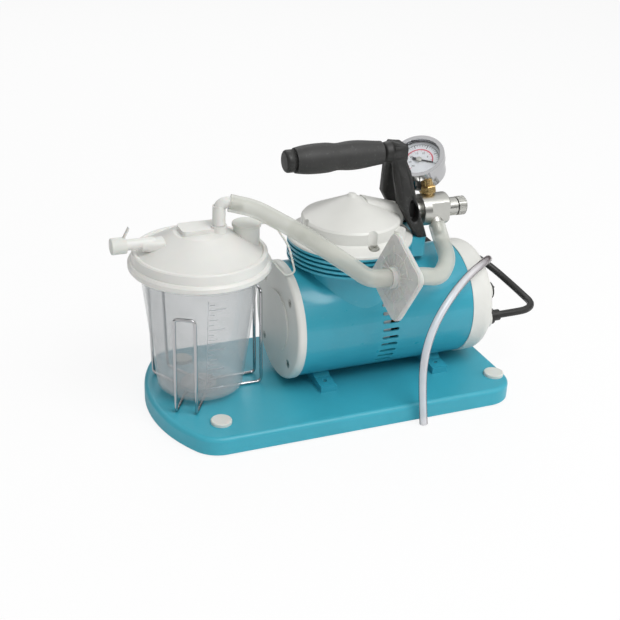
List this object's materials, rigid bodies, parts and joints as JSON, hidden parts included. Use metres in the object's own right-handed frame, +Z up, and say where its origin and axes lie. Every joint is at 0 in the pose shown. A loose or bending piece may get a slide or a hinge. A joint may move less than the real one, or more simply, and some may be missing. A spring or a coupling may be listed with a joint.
{
  "type": "vacuum aspirator",
  "caption": "Bench suction unit: collection jar with float-valve lid and in-line filter, motor-driven diaphragm pump with finned housing, carry handle, vacuum regulator and dial gauge.",
  "frame": {"origin": "under the middle of the unit, on the floor, cord and drain tube left out", "axes": "Z up; X runs along the motor from the jar to the gauge; -Y is the user's side"},
  "size_m": [0.4368, 0.36, 0.2516],
  "materials": {
    "teal_paint": "semi-gloss enamel",
    "teal_plastic": "moulded, fine grain",
    "white_plastic": "satin white moulding",
    "white_paint": "smooth white enamel",
    "black_plastic": "fine grain",
    "chrome_wire": "bright",
    "clear_jar": "clear moulded plastic",
    "clear_tube": "clear soft tube",
    "milky_silicone": "translucent silicone",
    "milky_plastic": "translucent white",
    "white_rubber": "soft white",
    "black_rubber": "matt",
    "dark_rubber": "matt",
    "steel": "turned",
    "zinc_screw": "zinc plated",
    "lamination": "stacked electrical steel",
    "copper": "enamelled copper wire",
    "alloy": "die cast",
    "grey_pipe": "dull grey",
    "brass_fitting": "plain brass",
    "nickel": "nickel plated",
    "lens": "clear",
    "dial_face": "matt white",
    "pointer_black": "matt black"
  },
  "bodies": {
    "base": {"base_tray": "teal_plastic", "base_feet": "white_rubber", "jar_holder": "chrome_wire", "holder_clamp": "steel", "filter_inlet_half": "milky_plastic", "filter_outlet_half": "milky_plastic", "suction_hose": "milky_silicone", "regulator_hose": "milky_silicone", "motor_shell": "teal_paint", "left_end_cap": "white_plastic", "end_cap_screws": "zinc_screw", "right_end_cap": "white_plastic", "motor_feet": "teal_paint", "foot_screws": "zinc_screw", "stator_core": "lamination", "stator_windings": "copper", "bearings": "steel", "bearing_bridge": "alloy", "finned_housing": "teal_paint", "diaphragm": "black_rubber", "head_cover": "white_paint", "head_screws": "zinc_screw", "valve_plate": "alloy", "intake_manifold": "grey_pipe", "regulator_body": "nickel", "collar_ring": "black_plastic", "regulator_spring": "steel", "gauge_case": "nickel", "gauge_bezel": "nickel", "gauge_lens": "lens", "gauge_dial": "dial_face", "gauge_fitting": "brass_fitting", "handle_bracket": "black_plastic", "handle_grip": "black_rubber", "switch_bezel": "black_plastic", "cord_relief": "dark_rubber", "power_cord": "dark_rubber", "power_cord_coil": "dark_rubber", "power_plug": "dark_rubber", "drain_tube": "clear_tube", "drain_tube_coil": "clear_tube"},
    "jar": {"jar_cup": "clear_jar"},
    "lid": {"jar_lid": "white_plastic", "lid_gasket": "white_rubber", "float_cage": "white_plastic", "lid_elbow": "milky_plastic", "ortho_cap_tether": "white_rubber"},
    "float": {"float_valve": "milky_plastic"},
    "wide_cap": {"ortho_cap": "white_rubber"},
    "narrow_cap": {"patient_cap": "white_rubber"},
    "rotor": {"rotor_core": "lamination", "motor_shaft": "steel", "cooling_fan": "black_plastic", "eccentric": "steel"},
    "rod": {"connecting_rod": "alloy", "crank_bearing": "steel"},
    "stem": {"regulator_stem": "steel"},
    "knob": {"regulator_knob": "nickel"},
    "pointer": {"gauge_pointer": "pointer_black"},
    "rocker": {"power_rocker": "black_plastic"}
  },
  "joints": [
    {"name": "jar_lift", "type": "slide", "parent": "base", "child": "jar", "axis": [0, 0, 1], "range_m": [0, 0.1], "deforming": ["suction_hose"]},
    {"name": "lid_lift", "type": "slide", "parent": "jar", "child": "lid", "axis": [0, 0, 1], "range_m": [0, 0.07], "deforming": ["suction_hose"]},
    {"name": "float_rise", "type": "slide", "parent": "lid", "child": "float", "axis": [0, 0, 1], "range_m": [0, 0.007]},
    {"name": "wide_cap_pull", "type": "slide", "parent": "lid", "child": "wide_cap", "axis": [0, 0, 1], "range_m": [0, 0.015], "deforming": ["ortho_cap_tether"]},
    {"name": "narrow_cap_pull", "type": "slide", "parent": "lid", "child": "narrow_cap", "axis": [-1, 0, 0], "range_m": [0, 0.015]},
    {"name": "rotor_spin", "type": "hinge", "parent": "base", "child": "rotor", "pos_m": [0.03875, 0.02554, 0.0785], "axis": [1, 0, 0], "continuous": true, "deforming": ["diaphragm"]},
    {"name": "rod_swing", "type": "hinge", "parent": "rotor", "child": "rod", "pos_m": [0.03875, 0.02554, 0.081], "axis": [1, 0, 0], "continuous": true},
    {"name": "stem_screw", "type": "slide", "parent": "base", "child": "stem", "axis": [1, 0, 0], "range_m": [0, 0.0045], "deforming": ["regulator_spring"]},
    {"name": "knob_turn", "type": "hinge", "parent": "stem", "child": "knob", "pos_m": [0.15475, 0.02554, 0.175], "axis": [1, 0, 0], "range_deg": [0, 1080]},
    {"name": "pointer_swing", "type": "hinge", "parent": "base", "child": "pointer", "pos_m": [0.11615, 0.04564, 0.2221], "axis": [-0.4198, -0.3498, 0.8375], "range_deg": [0, 250]},
    {"name": "rocker_tilt", "type": "hinge", "parent": "base", "child": "rocker", "pos_m": [0.17825, -0.00646, 0.094], "axis": [0, -1, 0], "range_deg": [0, 12]}
  ],
  "couplings": [
    {"joint": "rod_swing", "follows": "rotor_spin", "ratio": -1},
    {"joint": "stem_screw", "follows": "knob_turn", "m_per_rad": 0.00019894}
  ]
}
